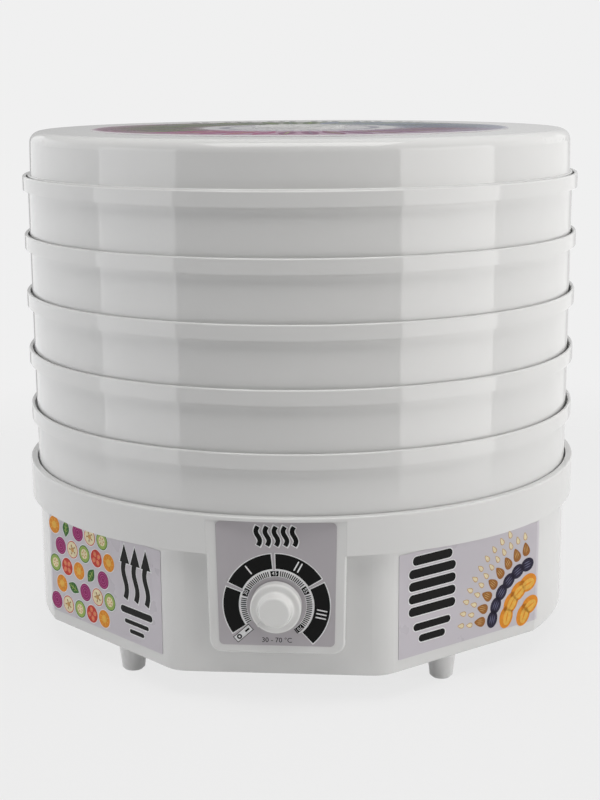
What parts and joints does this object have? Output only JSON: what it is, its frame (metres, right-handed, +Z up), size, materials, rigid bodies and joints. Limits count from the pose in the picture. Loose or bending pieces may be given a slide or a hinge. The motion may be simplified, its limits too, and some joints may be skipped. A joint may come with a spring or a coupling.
{
  "type": "food dehydrator",
  "caption": "Round stacking food dehydrator: nesting net-floored trays under a vented lid, on a base with a fan, a ring heater and a front dial.",
  "frame": {"origin": "on the axis of the tray stack, in the plane that the feet stand on", "axes": "+Z up along the stack, -Y out of the control panel, +X to its right seen from the front"},
  "size_m": [0.384, 0.3942, 0.3477],
  "materials": {
    "white_plastic": "glossy moulded white plastic",
    "knob_plastic": "glossy white plastic",
    "inner_plastic": "satin white plastic",
    "foot_plastic": "white plastic",
    "dial_print": "printed plastic film",
    "side_print": "printed plastic film",
    "lid_print": "printed plastic film",
    "black_plastic": "heat resistant black plastic",
    "plated_steel": "zinc plated",
    "core_steel": "laminated",
    "heater_sheath": "heat tinted",
    "insulator_ceramic": "unglazed",
    "copper_winding": "enamelled copper",
    "bush_bronze": "sintered bronze",
    "lead_red": "silicone insulation",
    "lead_blue": "silicone insulation"
  },
  "bodies": {
    "lid": {"lid": "white_plastic", "lid_label": "lid_print"},
    "tray_1": {"tray_1": "white_plastic", "tray_1_net": "white_plastic"},
    "tray_2": {"tray_2": "white_plastic", "tray_2_net": "white_plastic"},
    "tray_3": {"tray_3": "white_plastic", "tray_3_net": "white_plastic"},
    "tray_4": {"tray_4": "white_plastic", "tray_4_net": "white_plastic"},
    "tray_5": {"tray_5": "white_plastic", "tray_5_net": "white_plastic"},
    "knob": {"knob": "knob_plastic", "thermostat_shaft": "plated_steel"},
    "fan": {"fan": "inner_plastic", "fan_retainer": "plated_steel", "motor_shaft": "plated_steel", "motor_rotor": "core_steel"},
    "base": {"base_housing": "white_plastic", "bottom_plate": "inner_plastic", "air_guard": "inner_plastic", "foot_front_left": "foot_plastic", "foot_front_right": "foot_plastic", "foot_rear_left": "foot_plastic", "foot_rear_right": "foot_plastic", "dial_label": "dial_print", "left_label": "side_print", "right_label": "side_print", "thermostat": "black_plastic", "thermal_cutout": "black_plastic", "terminal_block": "black_plastic", "cord_gland": "black_plastic", "thermostat_nut": "plated_steel", "guard_screws": "plated_steel", "guard_nuts": "plated_steel", "heater_clips": "plated_steel", "heater_tab_left": "plated_steel", "heater_tab_right": "plated_steel", "cutout_rivets": "plated_steel", "motor_can": "plated_steel", "motor_cap": "plated_steel", "motor_bracket": "plated_steel", "bracket_screws": "plated_steel", "motor_screws": "plated_steel", "terminal_screw": "plated_steel", "case_screws": "plated_steel", "motor_stator": "core_steel", "heater_element": "heater_sheath", "heater_insulator_left": "insulator_ceramic", "heater_insulator_right": "insulator_ceramic", "motor_winding": "copper_winding", "motor_bush_upper": "bush_bronze", "motor_bush_lower": "bush_bronze", "wire_supply": "lead_red", "wire_switched": "lead_red", "wire_heater_live": "lead_red", "wire_motor_live": "lead_red", "wire_heater_neutral": "lead_blue", "wire_motor_neutral": "lead_blue"}
  },
  "joints": [
    {"name": "tray_5_lift", "type": "slide", "parent": "base", "child": "tray_5", "axis": [0, 0, 1], "range_m": [0, 0.06]},
    {"name": "tray_4_lift", "type": "slide", "parent": "tray_5", "child": "tray_4", "axis": [0, 0, 1], "range_m": [0, 0.06]},
    {"name": "tray_3_lift", "type": "slide", "parent": "tray_4", "child": "tray_3", "axis": [0, 0, 1], "range_m": [0, 0.06]},
    {"name": "tray_2_lift", "type": "slide", "parent": "tray_3", "child": "tray_2", "axis": [0, 0, 1], "range_m": [0, 0.06]},
    {"name": "tray_1_lift", "type": "slide", "parent": "tray_2", "child": "tray_1", "axis": [0, 0, 1], "range_m": [0, 0.06]},
    {"name": "lid_lift", "type": "slide", "parent": "tray_1", "child": "lid", "axis": [0, 0, 1], "range_m": [0, 0.06]},
    {"name": "knob_turn", "type": "hinge", "parent": "base", "child": "knob", "pos_m": [0, -0.187, 0.066], "axis": [0, 1, 0], "range_deg": [0, 270]},
    {"name": "fan_spin", "type": "hinge", "parent": "base", "child": "fan", "pos_m": [0, 0, 0.07], "axis": [0, 0, 1], "continuous": true}
  ]
}
